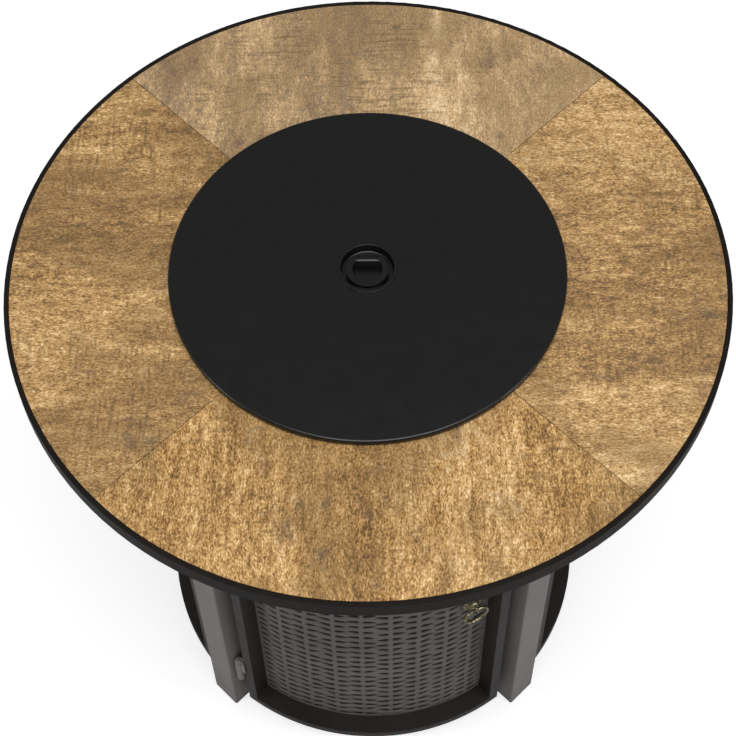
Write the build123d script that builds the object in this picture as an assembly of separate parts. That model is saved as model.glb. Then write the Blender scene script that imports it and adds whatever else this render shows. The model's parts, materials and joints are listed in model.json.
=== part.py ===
from build123d import *
import os
from math import atan2, cos, degrees, radians, sin, sqrt

# A round gas fire pit table: a wood-look tiled top on a drum-shaped column with
# four square posts, three fixed wicker-pattern panels, a door and a lift-off lid.
# Millimetres, +Z up. The origin is on the floor, on the table's axis, and the
# door faces -Y. Azimuths are in degrees from -Y towards +X.

# Tabletop
table_height = 657.0
top_radius = 355.6
rim_width = 4.9
rim_depth = 20.0
rim_rounding = 1.0
tray_sheet = 1.5
tile_thickness = 8.0
tile_drop = 0.4
deck_ledge = 68.2
tile_joint = 0.6
tile_edge_gap = 0.3

# Fire bowl
pan_sheet = 1.5
pan_mouth_inset = 7.0
pan_hem = 3.0
pan_flange_cover = 7.0
pan_depth = 90.0
pan_wall_drop = 38.0
pan_cone_run = 53.0
drain_hole_radius = 4.0
drain_circle_radius = 55.0
drain_hole_count = 6

# Lid
lid_overlap = 20.0
lid_sheet = 1.5
lid_height = 7.0
lid_skirt_gap = 1.2
lid_edge_rounding = 2.6
cup_flange_radius = 30.0
cup_inner_radius = 26.2
cup_sheet = 0.8
cup_depth = 9.4
pull_outer_radius = 20.6
pull_inner_radius = 14.6
pull_thickness = 3.0
pull_centre_back = 2.0
pull_ear_length = 6.4
pull_bar_offset = 9.0
pull_bar_radius = 2.0
pull_notch_half_width = 10.6
clip_half_width = 10.0
clip_plate_length = 9.0
clip_sheet = 1.2

# Posts and feet
post_width = 38.0
post_wall = 1.5
post_corner_rounding = 2.0
post_stand_out = 9.05
foot_lip = 3.0
foot_plug_length = 14.0
foot_plug_gap = 0.1

# Curved panels and door
drum_radius = 250.2
frame_depth = 25.0
frame_width = 12.7
frame_sheet = 1.4
panel_post_gap = 15.06
panel_bottom = 30.0
door_swing_gap = 5.0
weave_recess = 21.2
weave_thickness = 3.0

# Rails and base shelf
rail_width = 11.0
rail_height = 20.0
rail_post_margin = 1.88
rail_above_panel_bottom = 4.0
shelf_sheet = 2.0
shelf_corner_gap = 1.0
shelf_vent_radius = 14.0
shelf_vent_circle_radius = 70.0
shelf_vent_count = 6

# Gas bottle collar and its clamping screw
collar_inner_radius = 117.0
collar_sheet = 2.0
collar_height = 26.0
collar_boss_length = 12.0
collar_boss_width = 20.0
screw_radius = 4.0
screw_length = 44.0
screw_reach = 8.0
screw_wing_span = 22.0
screw_wing_depth = 12.0
screw_wing_sheet = 4.0
screw_root_collar = 2.0
screw_nose_radius = 2.4
screw_nose_length = 2.0
pad_radius = 7.0
pad_thickness = 4.0

# Door hinges
hinge_inset = 0.2
hinge_post_gap = 7.18
hinge_end_distance = 80.0
barrel_radius = 5.0
barrel_length = 24.0
barrel_web = 3.0
barrel_web_reach = 10.0
hinge_pin_radius = 2.5
hinge_pin_proud = 1.0

# Door pull
door_pull_azimuth = 28.6
door_pull_height = 318.0
rosette_radius = 12.0
rosette_thickness = 3.0
rosette_boss_radius = 6.0
rosette_boss_length = 4.0
eye_width = 3.0
eye_height = 8.5
eye_reach = 7.0
eye_hole_gap = 0.4
door_ring_radius = 14.0
door_ring_wire_radius = 1.8
stud_radius = 3.0
stud_length = 10.0
stud_nut_radius = 6.0
stud_nut_thickness = 4.0

# Door magnet
magnet_top_distance = 72.0
magnet_length = 40.0
magnet_depth = 11.0
magnet_reach = 15.0
magnet_gap = 0.3

# Panel clips, top brackets and their screws
panel_clip_end_distance = 160.0
panel_clip_height = 52.0
panel_clip_sheet = 3.0
panel_clip_depth = 22.0
panel_clip_cover_angle = 2.6
clip_screw_spacing = 33.0
screw_head_radius = 4.6
screw_head_height = 2.6
screw_dome_share = 0.8
screw_shank_radius = 2.4
screw_shank_length = 9.0
deck_screw_radius = 1.9
deck_screw_head_radius = 3.6
deck_screw_head_height = 2.0
screw_hole_gap = 0.1
bracket_width = 30.0
bracket_drop = 45.0
bracket_run = 30.0
bracket_sheet = 3.0
bracket_screw_spacing = 16.0

# Burner
burner_floor_margin = 40.0
burner_tube_radius = 9.0
burner_height = 22.0
burner_spoke_radius = 6.5
burner_spoke_bite = 0.6
burner_boss_radius = 15.0
hub_pipe_radius = 9.0
hub_bore_radius = 6.0
hub_flange_radius = 20.0
hub_flange_thickness = 3.0
hub_elbow_radius = 13.0
hub_nut_radius = 16.0
hub_nut_thickness = 8.0
gas_line_drop = 20.0

# Controls behind the door
control_plate_setback = 62.2
control_plate_sheet = 2.0
control_plate_width = 156.0
control_plate_height = 92.0
control_plate_flange = 18.0
control_spacing = 76.0
control_drop = 68.0
valve_width = 30.0
valve_depth = 26.0
valve_body_height = 34.0
valve_lug_radius = 3.0
valve_bore_room = 6.0
valve_corner_rounding = 3.0
stem_radius = 4.0
stem_engagement = 12.0
stem_collar_radius = 5.4
stem_collar_length = 2.0
stem_travel = 4.0
plate_hole_gap = 1.2
washer_radius = 7.0
washer_thickness = 1.5
washer_setback = 1.0
washer_spare_travel = 1.5
knob_radius = 20.0
knob_length = 21.0
knob_rounding = 2.0
knob_spare_travel = 1.0
knob_grip_width = 8.0
knob_grip_inset = 2.0
knob_grip_depth = 12.0
knob_socket_depth = 14.0
inlet_radius = 6.0
inlet_hex_radius = 9.0
inlet_hex_length = 8.0
inlet_length = 18.0
inlet_bore_radius = 3.0
inlet_end_wall = 2.0

# Igniter
igniter_radius = 11.0
igniter_length = 42.0
igniter_bezel_radius = 14.5
igniter_bezel_thickness = 3.0
igniter_button_radius = 8.5
igniter_button_rounding = 1.5
igniter_button_proud = 6.0
igniter_button_length = 14.0
igniter_travel = 4.0
igniter_spring_room = 10.0
igniter_nut_radius = 15.5
igniter_nut_thickness = 5.0

# Spark electrode and flame sensor
sensor_azimuth = 150.0
sensor_floor_margin = 17.0
sensor_spacing = 18.0
sensor_bracket_width = 34.0
sensor_bracket_depth = 12.0
sensor_bracket_height = 14.0
sensor_bracket_sheet = 1.5
ceramic_radius = 3.4
ceramic_length = 24.0
spark_wire_radius = 0.9
spark_wire_length = 9.0
sensor_radius = 2.6
sensor_length = 30.0
sensor_collar = 1.2

# Gas pipe and air mixer
pipe_radius = 4.0
pipe_bore_radius = 3.0
pipe_bend_radius = 9.0
pipe_back_run = 22.0
pipe_last_run = 26.0
pipe_outlet_drop = 6.0
mixer_radius = 10.0
mixer_bore_radius = 7.0
mixer_slot_length = 14.0
mixer_slot_width = 6.0
mixer_slot_setback = 24.0
mixer_end_wall = 6.0

# Heights and radii that follow from the sizes above
tile_top = table_height - tile_drop
deck_top = tile_top - tile_thickness
deck_bottom = deck_top - tray_sheet
rim_inner_radius = top_radius - rim_width
rim_bottom = table_height - rim_depth
panel_top = rim_bottom - door_swing_gap
lid_top = table_height + lid_height
lid_underside = lid_top - lid_sheet
pan_floor = table_height - pan_depth
pan_underside = pan_floor - pan_sheet
pan_wall_low = table_height - pan_wall_drop
tile_inner_radius = drum_radius - deck_ledge
pan_mouth_radius = tile_inner_radius - pan_mouth_inset
pan_flange_radius = tile_inner_radius + pan_flange_cover
pan_wall_radius = pan_mouth_radius + pan_hem
pan_floor_radius = pan_mouth_radius - pan_cone_run
lid_radius = pan_mouth_radius + lid_overlap
burner_ring_radius = pan_floor_radius - burner_floor_margin
sensor_distance = pan_floor_radius - sensor_floor_margin
frame_back_radius = drum_radius - frame_depth
weave_radius = drum_radius - weave_recess
weave_back_radius = weave_radius - weave_thickness
post_face_distance = drum_radius + post_stand_out
post_inner_distance = post_face_distance - post_width
rail_outer_distance = (post_inner_distance + post_width / 2) / sqrt(2) - rail_post_margin
rail_inner_distance = rail_outer_distance - rail_width
frame_angle = degrees(frame_width / drum_radius)
panel_half_angle = 45 - degrees((post_width / 2 + panel_post_gap) / drum_radius)
rail_bottom = panel_bottom + rail_above_panel_bottom
rail_top = rail_bottom + rail_height
shelf_top = rail_top + shelf_sheet
hinge_radius = drum_radius - hinge_inset
hinge_azimuth = -45 + degrees((post_width / 2 + hinge_post_gap) / hinge_radius)
hinge_low_height = panel_bottom + hinge_end_distance
hinge_high_height = panel_top - hinge_end_distance
magnet_height = panel_top - magnet_top_distance
clip_heights = (panel_bottom + panel_clip_end_distance, panel_top - panel_clip_end_distance)
control_plate_distance = drum_radius - control_plate_setback
control_height = deck_bottom - control_drop
valve_x = -control_spacing / 2
igniter_x = control_spacing / 2
plate_front = -control_plate_distance - control_plate_sheet
plate_back = -control_plate_distance
washer_front = plate_back + washer_setback
valve_front = washer_front + washer_thickness + stem_travel + washer_spare_travel
knob_back = plate_front - stem_travel - knob_spare_travel
bezel_front = plate_front - igniter_bezel_thickness
gas_line_height = pan_underside - gas_line_drop
burner_ring_height = pan_floor + burner_height
quarter_azimuths = {"front_right": 45, "back_right": 135, "back_left": 225, "front_left": 315}
side_azimuths = {"front": 0, "right": 90, "back": 180, "left": 270}

# Radial clearance of every shaft that turns or slides in a bore
running_gap = 0.06

# A length that reaches past any face that a cut starts or ends at, and a short one
beyond = 60.0
past = 1.0


# Helpers

def polar(radius, azimuth, height=0.0):
    """The point at a radius and azimuth, azimuth counted from -Y towards +X."""
    turn = radians(azimuth)
    return (radius * sin(turn), -radius * cos(turn), height)


def sector(inner, outer, low, high, start, end):
    """A curved block between two radii, two heights and two azimuths."""
    middle = (start + end) / 2
    outline = [
        ThreePointArc(polar(outer, start, low), polar(outer, middle, low), polar(outer, end, low)),
        Line(polar(outer, end, low), polar(inner, end, low)),
        ThreePointArc(polar(inner, end, low), polar(inner, middle, low), polar(inner, start, low)),
        Line(polar(inner, start, low), polar(outer, start, low)),
    ]
    return extrude(make_face(outline), amount=high - low, dir=(0, 0, 1))


def turned(points):
    """A turned solid: an outline of radius and height pairs, spun about the Z axis."""
    outline = Polyline(*[(radius, 0, height) for radius, height in points], close=True)
    return revolve(make_face(outline), Axis.Z)


def upright(radius, low, high, x=0.0, y=0.0):
    """A vertical cylinder between two heights."""
    shape = Cylinder(radius, high - low, align=(Align.CENTER, Align.CENTER, Align.MIN))
    return Pos(x, y, low) * shape


def block(x_range, y_range, z_range):
    """A box between two corners."""
    size = [high - low for low, high in (x_range, y_range, z_range)]
    middle = [(high + low) / 2 for low, high in (x_range, y_range, z_range)]
    return Pos(*middle) * Box(*size)


def forward(radius, start, end, x=0.0, z=0.0):
    """A cylinder lying along Y between two Y values."""
    shape = Rot(90, 0, 0) * Cylinder(radius, abs(end - start))
    return Pos(x, (start + end) / 2, z) * shape


def sideways(radius, start, end, y=0.0, z=0.0):
    """A cylinder lying along X between two X values."""
    shape = Rot(0, 90, 0) * Cylinder(radius, abs(end - start))
    return Pos((start + end) / 2, y, z) * shape


def hexagon(radius, low, high):
    """A vertical hexagonal prism between two heights; the radius is to its corners."""
    outline = RegularPolygon(radius, 6)
    return Pos(0, 0, low) * extrude(outline, amount=high - low)


def around(shape, azimuth):
    """Turn a shape made at the front to another azimuth."""
    return Rot(0, 0, azimuth) * shape


def group(shapes):
    """Separate alike solids that share one file."""
    solids = []
    for shape in shapes:
        solids.extend(shape.solids())
    return Compound(children=solids)


# Tabletop tray: a flat ring of sheet with a folded, hollow rim

def make_tray():
    deck = turned([
        (tile_inner_radius, deck_bottom), (rim_inner_radius, deck_bottom),
        (rim_inner_radius, deck_top), (tile_inner_radius, deck_top),
    ])
    rim = turned([
        (rim_inner_radius, rim_bottom), (top_radius, rim_bottom),
        (top_radius, table_height), (rim_inner_radius, table_height),
    ])
    rim = fillet(rim.edges().group_by(Axis.Z)[-1], rim_rounding)
    fold = turned([
        (rim_inner_radius + tray_sheet, rim_bottom), (top_radius - tray_sheet, rim_bottom),
        (top_radius - tray_sheet, table_height - tray_sheet),
        (rim_inner_radius + tray_sheet, table_height - tray_sheet),
    ])
    tray = deck + (rim - fold)
    for shape in deck_screw_places(deck_screw_radius + screw_hole_gap):
        tray -= shape
    return tray


# One tile: a quarter of the wood-look ring, with a narrow joint on each side

def make_tile():
    outer = rim_inner_radius - tile_edge_gap
    tile = sector(tile_inner_radius, outer, deck_top, tile_top, -45, 45)
    for side in (-1, 1):
        joint = block((-tile_joint / 2, tile_joint / 2), (-outer - past, 0), (deck_top, tile_top))
        tile -= around(joint, 45 * side)
    return tile


# Fire bowl: a collar with a hemmed mouth that carries the lid and a flange on the tiles

def make_pan_collar():
    mouth = pan_mouth_radius
    return turned([
        (pan_wall_radius - pan_sheet, pan_wall_low), (pan_wall_radius, pan_wall_low),
        (pan_wall_radius, tile_top), (pan_flange_radius, tile_top),
        (pan_flange_radius, tile_top + pan_sheet), (pan_wall_radius, tile_top + pan_sheet),
        (pan_wall_radius, lid_underside), (mouth, lid_underside), (mouth, tile_top - pan_sheet),
        (pan_wall_radius - pan_sheet, tile_top - 2 * pan_sheet),
    ])


# Fire bowl: a cone and a floor, welded under the collar

def make_pan():
    shell = turned([
        (0, pan_underside), (pan_floor_radius, pan_underside), (pan_wall_radius, pan_wall_low),
        (pan_wall_radius - pan_sheet, pan_wall_low), (pan_floor_radius - pan_sheet, pan_floor),
        (0, pan_floor),
    ])
    shell -= upright(hub_pipe_radius + screw_hole_gap, pan_underside - past, pan_floor + past)
    for index in range(drain_hole_count):
        hole = upright(drain_hole_radius, pan_underside - past, pan_floor + past, 0, -drain_circle_radius)
        shell -= around(hole, 30 + 360 * index / drain_hole_count)
    for side, radius in ((-1, ceramic_radius), (1, sensor_radius)):
        x = side * sensor_spacing / 2
        hole = upright(radius + screw_hole_gap, pan_underside - past, pan_floor + past, x, -sensor_distance)
        shell -= around(hole, sensor_azimuth)
    return shell


# Lid: a flat disc with a rounded, turned-down edge and a hole for the pull's cup

def make_lid():
    disc = upright(lid_radius, tile_top + lid_skirt_gap, lid_top)
    disc = fillet(disc.edges().group_by(Axis.Z)[-1], lid_edge_rounding)
    inside = upright(lid_radius - lid_sheet, tile_top + lid_skirt_gap, lid_underside)
    inside = fillet(inside.edges().group_by(Axis.Z)[-1], lid_edge_rounding - lid_sheet)
    hole = upright(cup_inner_radius + cup_sheet, lid_underside - 1, lid_top + 1)
    return disc - inside - hole


cup_floor = lid_top - cup_depth
pull_bar_height = lid_top - pull_thickness / 2


def make_lid_cup():
    wall = cup_inner_radius + cup_sheet
    return turned([
        (0, cup_floor - cup_sheet), (wall, cup_floor - cup_sheet), (wall, lid_top),
        (cup_flange_radius, lid_top), (cup_flange_radius, lid_top + cup_sheet),
        (cup_inner_radius, lid_top + cup_sheet), (cup_inner_radius, cup_floor), (0, cup_floor),
    ])


def make_lid_pull():
    low = lid_top - pull_thickness
    ears_end = pull_bar_offset + pull_ear_length
    plate = upright(pull_outer_radius, low, lid_top, 0, -pull_centre_back)
    plate -= block((-beyond, beyond), (ears_end, beyond), (low, lid_top))
    hole = upright(pull_inner_radius, low, lid_top, 0, -pull_centre_back)
    hole -= block((-beyond, beyond), (pull_bar_offset - pull_bar_radius, beyond), (low, lid_top))
    notch = block((-pull_notch_half_width, pull_notch_half_width),
                  (pull_bar_offset - pull_bar_radius - 1, beyond), (low, lid_top))
    bar = sideways(pull_bar_radius, -pull_notch_half_width - 1, pull_notch_half_width + 1,
                   pull_bar_offset, pull_bar_height)
    return plate - hole - notch + bar


def make_lid_clip():
    outer = pull_bar_radius + clip_sheet
    saddle = sideways(outer, -clip_half_width, clip_half_width, pull_bar_offset, pull_bar_height)
    leg = block((-clip_half_width, clip_half_width),
                (pull_bar_offset, pull_bar_offset + outer), (cup_floor, pull_bar_height))
    foot = block((-clip_half_width, clip_half_width),
                 (pull_bar_offset, pull_bar_offset + clip_plate_length),
                 (cup_floor, cup_floor + clip_sheet))
    bore = sideways(pull_bar_radius + running_gap, -beyond, beyond, pull_bar_offset, pull_bar_height)
    return saddle + leg + foot - bore


# Posts and feet, made at the front and turned to their corners

def post_blank():
    return block((-post_width / 2, post_width / 2), (-post_face_distance, -post_inner_distance),
                 (foot_lip, deck_bottom))


def make_post():
    post = fillet(post_blank().edges().filter_by(Axis.Z), post_corner_rounding)
    inside = post_width / 2 - post_wall
    post -= block((-inside, inside),
                  (-post_face_distance + post_wall, -post_inner_distance - post_wall),
                  (foot_lip, deck_bottom))
    return post


def make_foot():
    inside = post_width / 2 - post_wall - foot_plug_gap
    middle = (post_face_distance + post_inner_distance) / 2
    lip = block((-post_width / 2, post_width / 2),
                (-post_face_distance, -post_inner_distance), (0, foot_lip))
    lip = fillet(lip.edges().filter_by(Axis.Z), post_corner_rounding)
    plug = block((-inside, inside), (-middle - inside, -middle + inside),
                 (foot_lip, foot_lip + foot_plug_length))
    return lip + plug


# Bottom rails and base shelf, trimmed at the posts' inner faces

def inside_posts(low, high, gap=0.0):
    half = post_inner_distance - gap
    return Rot(0, 0, 45) * block((-half, half), (-half, half), (low, high))


def make_rail():
    reach = post_face_distance
    rail = block((-reach, reach), (-rail_inner_distance - rail_width, -rail_inner_distance),
                 (rail_bottom, rail_top))
    return rail & inside_posts(rail_bottom, rail_top)


def make_shelf():
    half = rail_inner_distance + rail_width
    shelf = block((-half, half), (-half, half), (rail_top, shelf_top))
    shelf &= inside_posts(rail_top, shelf_top, shelf_corner_gap)
    for index in range(shelf_vent_count):
        vent = upright(shelf_vent_radius, rail_top - 1, shelf_top + 1, 0, -shelf_vent_circle_radius)
        shelf -= around(vent, 360 * index / shelf_vent_count)
    return shelf


# Gas bottle collar with a boss for its clamping screw

screw_height = shelf_top + collar_height / 2
collar_outer_radius = collar_inner_radius + collar_sheet
collar_boss_end = collar_outer_radius + collar_boss_length
screw_tip = -(collar_inner_radius - screw_reach)


def make_collar():
    collar = upright(collar_outer_radius, shelf_top, shelf_top + collar_height)
    boss = block((-collar_boss_width / 2, collar_boss_width / 2),
                 (-collar_boss_end, -collar_inner_radius + 1),
                 (shelf_top, shelf_top + collar_height))
    collar = collar + boss
    collar -= upright(collar_inner_radius, shelf_top - 1, shelf_top + collar_height + 1)
    return collar - forward(screw_radius + running_gap, -beyond - collar_boss_end, 0, 0, screw_height)


def make_collar_screw():
    head_end = screw_tip - screw_length
    shank = forward(screw_radius, head_end, screw_tip, 0, screw_height)
    nose = forward(screw_nose_radius, screw_tip, screw_tip + screw_nose_length, 0, screw_height)
    wings = block((-screw_wing_span / 2, screw_wing_span / 2),
                  (head_end - screw_wing_depth, head_end),
                  (screw_height - screw_wing_sheet / 2, screw_height + screw_wing_sheet / 2))
    wings = fillet(wings.edges().filter_by(Axis.Z), screw_wing_depth / 3)
    root = forward(screw_radius + screw_root_collar, head_end - screw_wing_depth / 2, head_end,
                   0, screw_height)
    return shank + nose + wings + root


def make_screw_pad():
    pad = forward(pad_radius, screw_tip, screw_tip + pad_thickness, 0, screw_height)
    socket = forward(screw_nose_radius + running_gap, screw_tip, screw_tip + screw_nose_length,
                     0, screw_height)
    return pad - socket


# Curved panel frame: a folded channel that is open at the back

def make_frame():
    half = panel_half_angle
    frame = sector(frame_back_radius, drum_radius, panel_bottom, panel_top, -half, half)
    frame -= sector(frame_back_radius - past, drum_radius + past, panel_bottom + frame_width,
                    panel_top - frame_width, -half + frame_angle, half - frame_angle)
    sheet_angle = degrees(frame_sheet / drum_radius)
    channel = sector(frame_back_radius - past, drum_radius - frame_sheet, panel_bottom + frame_sheet,
                     panel_top - frame_sheet, -half + sheet_angle, half - sheet_angle)
    channel -= sector(frame_back_radius - 2 * past, drum_radius, panel_bottom + frame_width - frame_sheet,
                      panel_top - frame_width + frame_sheet,
                      -half + frame_angle - sheet_angle, half - frame_angle + sheet_angle)
    return frame - channel


def make_weave():
    half = panel_half_angle - frame_angle
    return sector(weave_back_radius, weave_radius, panel_bottom + frame_width,
                  panel_top - frame_width, -half, half)


# Panel clips: an angle with one leg on the post's side and one behind the frame

panel_start = 45 - panel_half_angle
clip_screw_distance = frame_back_radius + panel_clip_depth / 2


def make_clip(side, height):
    low = height - panel_clip_height / 2
    high = height + panel_clip_height / 2
    face = post_width / 2
    leg = block((face, face + panel_clip_sheet),
                (-frame_back_radius - panel_clip_depth, -frame_back_radius + panel_clip_sheet),
                (low, high))
    back = sector(frame_back_radius - panel_clip_sheet, frame_back_radius, low, high,
                  0, panel_start + panel_clip_cover_angle)
    back -= block((-beyond, face), (-beyond - frame_back_radius, beyond), (low, high))
    clip = leg + back
    for step in (-0.5, 0.5):
        clip -= sideways(screw_shank_radius + screw_hole_gap, 0, beyond, -clip_screw_distance,
                         height + step * clip_screw_spacing)
    if side < 0:
        clip = mirror(clip, Plane.YZ)
    return clip


def post_screw(side, y, z):
    """A dome-headed screw from a clip into the post's side face."""
    seat = post_width / 2 + panel_clip_sheet
    head = sideways(screw_head_radius, seat, seat + screw_head_height, y, z)
    head = fillet(head.edges().group_by(Axis.X)[-1], screw_head_height * screw_dome_share)
    shank = sideways(screw_shank_radius, seat - screw_shank_length, seat, y, z)
    screw = head + shank
    if side < 0:
        screw = mirror(screw, Plane.YZ)
    return screw


def clip_sides(corner):
    """Which sides of a corner post carry a fixed panel: +1 is its counter-clockwise side."""
    if corner == "front_right":
        return (1,)
    if corner == "front_left":
        return (-1,)
    return (-1, 1)


# Top brackets between the posts and the tray

bracket_screw_height = deck_bottom - bracket_sheet - (bracket_drop - bracket_sheet) / 2
bracket_deck_distance = post_inner_distance - bracket_sheet - (bracket_run - bracket_sheet) / 2


def make_bracket():
    half = bracket_width / 2
    upright_leg = block((-half, half), (-post_inner_distance, -post_inner_distance + bracket_sheet),
                        (deck_bottom - bracket_drop, deck_bottom))
    flat_leg = block((-half, half), (-post_inner_distance, -post_inner_distance + bracket_run),
                     (deck_bottom - bracket_sheet, deck_bottom))
    bracket = upright_leg + flat_leg
    for step in (-0.5, 0.5):
        x = step * bracket_screw_spacing
        bracket -= forward(screw_shank_radius + screw_hole_gap, -post_inner_distance - 1,
                           -post_inner_distance + bracket_sheet + 1, x, bracket_screw_height)
        bracket -= upright(deck_screw_radius + screw_hole_gap, deck_bottom - bracket_sheet - 1,
                           deck_bottom + 1, x, -bracket_deck_distance)
    return bracket


def bracket_screw(x):
    """The same dome-headed screw, from a top bracket into the post's inner face."""
    turned_screw = Rot(0, 0, 90) * post_screw(1, 0, 0)
    seat = post_width / 2 + panel_clip_sheet
    return Pos(x, -post_inner_distance + bracket_sheet - seat, bracket_screw_height) * turned_screw


def deck_screw(x):
    low = deck_bottom - bracket_sheet
    shank = upright(deck_screw_radius, low, deck_top, x, -bracket_deck_distance)
    head = upright(deck_screw_head_radius, low - deck_screw_head_height, low, x, -bracket_deck_distance)
    return shank + head


def deck_screw_places(radius):
    """The screws' paths through the tray, at all four corners."""
    paths = []
    for azimuth in quarter_azimuths.values():
        for step in (-0.5, 0.5):
            path = upright(radius, deck_bottom - 1, deck_top + 1, step * bracket_screw_spacing,
                           -bracket_deck_distance)
            paths.append(around(path, azimuth))
    return paths


# Door hinges: pairs of barrels on a pin, the lower one on the post

def hinge_base(height, side):
    """A barrel with its weld web; side is -1 towards the post and +1 towards the door."""
    low = height if side > 0 else height - barrel_length
    barrel = upright(barrel_radius, low, low + barrel_length, 0, -hinge_radius)
    reach = (0, barrel_web_reach) if side > 0 else (-barrel_web_reach, 0)
    web = block(reach, (-hinge_radius - barrel_web / 2, -hinge_radius + barrel_web / 2),
                (low + 1, low + barrel_length - 1))
    return around(barrel + web, hinge_azimuth)


def hinge_bore(radius, height):
    shape = upright(radius, height - beyond, height + beyond, 0, -hinge_radius)
    return around(shape, hinge_azimuth)


def make_post_barrel(height):
    barrel = hinge_base(height, -1) - around(post_blank(), quarter_azimuths["front_left"])
    return barrel - hinge_bore(hinge_pin_radius, height)


def make_door_barrel(height):
    door_block = sector(frame_back_radius, drum_radius + 1, panel_bottom, panel_top,
                        -panel_half_angle, 0)
    barrel = hinge_base(height, 1) - door_block
    return barrel - hinge_bore(hinge_pin_radius + running_gap, height)


def make_hinge_pin(height):
    pin = upright(hinge_pin_radius, height - barrel_length, height + barrel_length + hinge_pin_proud,
                  0, -hinge_radius)
    return around(pin, hinge_azimuth)


# Door pull: a rosette with an eye, a hanging ring and a nut behind the weave

eye_y = -(weave_radius + rosette_thickness + rosette_boss_length + eye_reach / 2)


def pull_stud(radius):
    start = -weave_radius - rosette_thickness / 2
    return forward(radius, start, start + rosette_thickness / 2 + stud_length, 0, door_pull_height)


def make_rosette():
    face = -weave_radius - rosette_thickness
    plate = forward(rosette_radius, face, -weave_radius + 1, 0, door_pull_height)
    plate = fillet(plate.edges().group_by(Axis.Y)[0], rosette_thickness / 3)
    plate -= upright(weave_radius, panel_bottom, panel_top)
    boss = forward(rosette_boss_radius, face - rosette_boss_length, face, 0, door_pull_height)
    boss = fillet(boss.edges().group_by(Axis.Y)[0], rosette_boss_length / 3)
    eye_front = face - rosette_boss_length - eye_reach
    eye = block((-eye_width / 2, eye_width / 2), (eye_front, face - rosette_boss_length + 1),
                (door_pull_height - eye_height / 2, door_pull_height + eye_height / 2))
    eye = fillet(eye.edges().filter_by(Axis.X).group_by(Axis.Y)[0], eye_height / 2.6)
    hole = sideways(door_ring_wire_radius + eye_hole_gap, -beyond, beyond, eye_y, door_pull_height)
    return plate + boss + eye + pull_stud(stud_radius) - hole


def make_door_ring():
    wire = Torus(door_ring_radius, door_ring_wire_radius)
    return Pos(0, eye_y, door_pull_height - door_ring_radius) * (Rot(90, 0, 0) * wire)


def make_rosette_nut():
    nut = hexagon(stud_nut_radius, 0, stud_nut_thickness)
    nut -= upright(stud_radius, -1, stud_nut_thickness + 1)
    placed = Pos(0, -weave_back_radius + stud_nut_thickness, door_pull_height) * (Rot(90, 0, 0) * nut)
    return placed - (upright(weave_radius, panel_bottom, panel_top)
                     - upright(weave_back_radius, panel_bottom, panel_top))


# Door magnet: a block on the right-hand post, just behind the closed door's frame

def make_magnet():
    low = magnet_height - magnet_length / 2
    high = magnet_height + magnet_length / 2
    face = post_width / 2
    body = block((-face - magnet_reach, -face),
                 (-beyond - frame_back_radius, -frame_back_radius + magnet_depth), (low, high))
    body &= upright(frame_back_radius - magnet_gap, low, high)
    return around(body, quarter_azimuths["front_right"])


# Burner ring with two cross tubes and a boss that sits on the hub pipe

def make_burner_ring():
    z = burner_ring_height
    section = Plane.XZ * Pos(burner_ring_radius, z) * Circle(burner_tube_radius)
    ring = revolve(section, Axis.Z)
    reach = burner_ring_radius - burner_tube_radius + burner_spoke_bite
    for azimuth in (45, 135):
        ring += around(forward(burner_spoke_radius, -reach, reach, 0, z), azimuth)
    ring += upright(burner_boss_radius, z - burner_tube_radius, z + burner_tube_radius)
    return ring - upright(hub_pipe_radius, z - 2 * burner_tube_radius, z)


# Hub pipe through the bowl's floor, with a flange above it and an elbow below

def make_hub():
    foot = gas_line_height - hub_elbow_radius
    hub = upright(hub_pipe_radius, foot, burner_ring_height)
    hub += upright(hub_flange_radius, pan_floor, pan_floor + hub_flange_thickness)
    hub += upright(hub_elbow_radius, foot, pan_underside - hub_nut_thickness)
    hub -= upright(hub_bore_radius, gas_line_height, burner_ring_height + 1)
    return hub - around(forward(mixer_radius, -beyond, 0, 0, gas_line_height), mixer_azimuth)


def make_hub_nut():
    nut = hexagon(hub_nut_radius, pan_underside - hub_nut_thickness, pan_underside)
    return nut - upright(hub_pipe_radius, pan_underside - hub_nut_thickness - 1, pan_underside + 1)


# Gas line: valve outlet, bent pipe and air mixer

pipe_start_y = valve_front + valve_depth
pipe_turn_y = pipe_start_y + pipe_back_run
pipe_start_z = control_height - pipe_outlet_drop
mixer_azimuth = degrees(atan2(valve_x, -pipe_turn_y))
pipe_turn_radius = sqrt(valve_x ** 2 + pipe_turn_y ** 2)
mixer_start_radius = pipe_turn_radius - pipe_last_run


def make_gas_pipe():
    route = FilletPolyline(
        (valve_x, pipe_start_y, pipe_start_z),
        (valve_x, pipe_turn_y, pipe_start_z),
        (valve_x, pipe_turn_y, gas_line_height),
        polar(mixer_start_radius, mixer_azimuth, gas_line_height),
        radius=pipe_bend_radius,
    )
    section = Plane(origin=route @ 0, z_dir=route % 0) * (Circle(pipe_radius) - Circle(pipe_bore_radius))
    return sweep(section, path=route)


def make_mixer():
    z = gas_line_height
    end = -mixer_start_radius
    tube = forward(mixer_radius, end, -hub_elbow_radius + 1, 0, z)
    tube -= forward(mixer_bore_radius, end + mixer_end_wall, 0, 0, z)
    slot_start = end + mixer_slot_setback
    slot = block((-beyond, beyond), (slot_start, slot_start + mixer_slot_length),
                 (z - mixer_slot_width / 2, z + mixer_slot_width / 2))
    tube -= slot
    return around(tube, mixer_azimuth)


# Control plate hung under the tray, just behind the door

def make_control_plate():
    half = control_plate_width / 2
    plate = block((-half, half), (plate_front, plate_back),
                  (deck_bottom - control_plate_height, deck_bottom))
    plate += block((-half, half), (plate_front - control_plate_flange, plate_back),
                   (deck_bottom - control_plate_sheet, deck_bottom))
    plate -= forward(stem_collar_radius + plate_hole_gap, plate_front - 1, plate_back + 1,
                     valve_x, control_height)
    return plate - forward(igniter_radius, plate_front - 1, plate_back + 1, igniter_x, control_height)


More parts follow.
